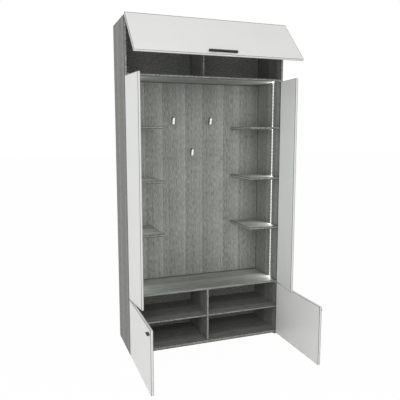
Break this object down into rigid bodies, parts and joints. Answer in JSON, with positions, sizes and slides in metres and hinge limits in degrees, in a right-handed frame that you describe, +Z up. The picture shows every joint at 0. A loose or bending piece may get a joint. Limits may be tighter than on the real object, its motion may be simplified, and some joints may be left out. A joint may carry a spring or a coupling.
{
  "type": "mudroom locker",
  "caption": "Tall mudroom locker: coat niche with hooks between lit shelved corners, bench over shoe compartments, hinged doors and a lift-up flap over the top box.",
  "frame": {"origin": "on the floor under the middle of the carcass", "axes": "+Z up, -Y towards the user in front, +X to the right seen from the front"},
  "size_m": [1.146, 0.9105, 2.23],
  "materials": {
    "grey_laminate": "matt grey wood-grain laminate",
    "white_front": "satin white laminate",
    "zinc_steel": "zinc plated",
    "hook_chrome": "polished",
    "handle_black": "satin black",
    "aluminium": "anodised",
    "nylon_white": "matt",
    "light_cover": "opal",
    "light_tape": "matt",
    "beech": "fluted beech"
  },
  "bodies": {
    "carcass": {"left_side_panel": "grey_laminate", "right_side_panel": "grey_laminate", "top_panel": "grey_laminate", "bottom_panel": "grey_laminate", "top_box_floor": "grey_laminate", "bench_seat": "grey_laminate", "top_box_divider": "grey_laminate", "shoe_divider": "grey_laminate", "left_shoe_shelf": "grey_laminate", "right_shoe_shelf": "grey_laminate", "left_upper_shelf": "grey_laminate", "left_middle_shelf": "grey_laminate", "left_lower_shelf": "grey_laminate", "right_upper_shelf": "grey_laminate", "right_middle_shelf": "grey_laminate", "right_lower_shelf": "grey_laminate", "middle_back_panel": "grey_laminate", "top_back_sheet": "grey_laminate", "lower_back_sheet": "grey_laminate", "cam_housings": "zinc_steel", "cam_bolts": "zinc_steel", "carcass_screws": "zinc_steel", "back_panel_screws": "zinc_steel", "wall_brackets": "zinc_steel", "top_pivot_plates": "zinc_steel", "middle_pivot_plates": "zinc_steel", "bottom_pivot_plates": "zinc_steel", "flap_hinge_fixed_leaves": "zinc_steel", "flap_hinge_pins": "zinc_steel", "left_coat_hook": "hook_chrome", "right_coat_hook": "hook_chrome", "centre_coat_hook": "hook_chrome", "coat_hook_screws": "hook_chrome", "coat_hook_plates": "handle_black", "left_light_profile": "aluminium", "right_light_profile": "aluminium", "floor_glides": "nylon_white", "light_end_caps": "nylon_white", "light_driver": "nylon_white", "left_light_diffuser": "light_cover", "right_light_diffuser": "light_cover", "light_tapes": "light_tape", "wood_dowels": "beech"},
    "upper_left_leaf": {"upper_left_door": "white_front", "upper_left_bushes": "nylon_white"},
    "upper_right_leaf": {"upper_right_door": "white_front", "upper_right_bushes": "nylon_white"},
    "lower_left_leaf": {"lower_left_door": "white_front", "lower_left_bushes": "nylon_white", "lower_left_pull": "handle_black", "lower_left_pull_screws": "zinc_steel"},
    "lower_right_leaf": {"lower_right_door": "white_front", "lower_right_bushes": "nylon_white", "lower_right_pull": "handle_black", "lower_right_pull_screws": "zinc_steel"},
    "top_flap": {"flap": "white_front", "flap_hinge_moving_leaves": "zinc_steel", "flap_hinge_screws": "zinc_steel", "flap_handle": "handle_black", "flap_handle_screws": "zinc_steel"}
  },
  "joints": [
    {"name": "upper_left_hinge", "type": "hinge", "parent": "carcass", "child": "upper_left_leaf", "pos_m": [-0.55, -0.187, 0.3945], "axis": [0, 0, -1], "range_deg": [-84, 26]},
    {"name": "lower_left_hinge", "type": "hinge", "parent": "carcass", "child": "lower_left_leaf", "pos_m": [-0.55, -0.187, 0.0055], "axis": [0, 0, -1], "range_deg": [-90, 20]},
    {"name": "upper_right_hinge", "type": "hinge", "parent": "carcass", "child": "upper_right_leaf", "pos_m": [0.55, -0.187, 0.3945], "axis": [0, 0, 1], "range_deg": [-84, 26]},
    {"name": "lower_right_hinge", "type": "hinge", "parent": "carcass", "child": "lower_right_leaf", "pos_m": [0.55, -0.187, 0.0055], "axis": [0, 0, 1], "range_deg": [-90, 20]},
    {"name": "flap_hinge", "type": "hinge", "parent": "carcass", "child": "top_flap", "pos_m": [0, -0.1765, 2.2048], "axis": [-1, 0, 0], "range_deg": [-44, 46]}
  ]
}
